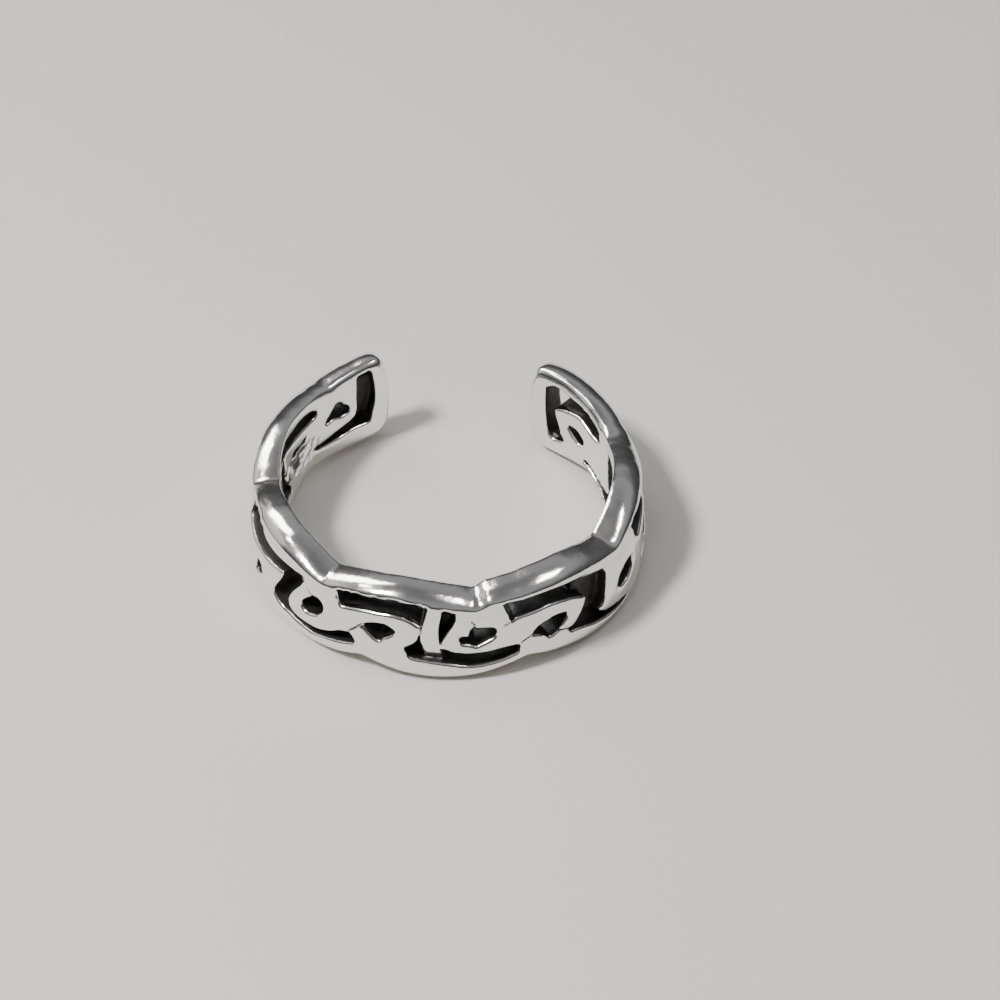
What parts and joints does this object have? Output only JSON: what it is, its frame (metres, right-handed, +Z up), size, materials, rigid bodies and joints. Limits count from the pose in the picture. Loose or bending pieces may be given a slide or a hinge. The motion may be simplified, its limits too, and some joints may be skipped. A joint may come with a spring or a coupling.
{
  "type": "toe ring",
  "caption": "Open adjustable toe ring: a C-shaped silver band of pierced Celtic knotwork between two scalloped rails, lying flat.",
  "frame": {"origin": "on the bore's axis, in the plane that the ring rests on", "axes": "+Z up along the bore, +Y from the axis towards the gap between the ends, +X to the right when the gap is at the back"},
  "size_m": [0.0174, 0.0163, 0.0048],
  "materials": {
    "silver": "polished cast silver, blackened in the openings and creases"
  },
  "bodies": {
    "root": {"knot_band": "silver"}
  },
  "joints": []
}
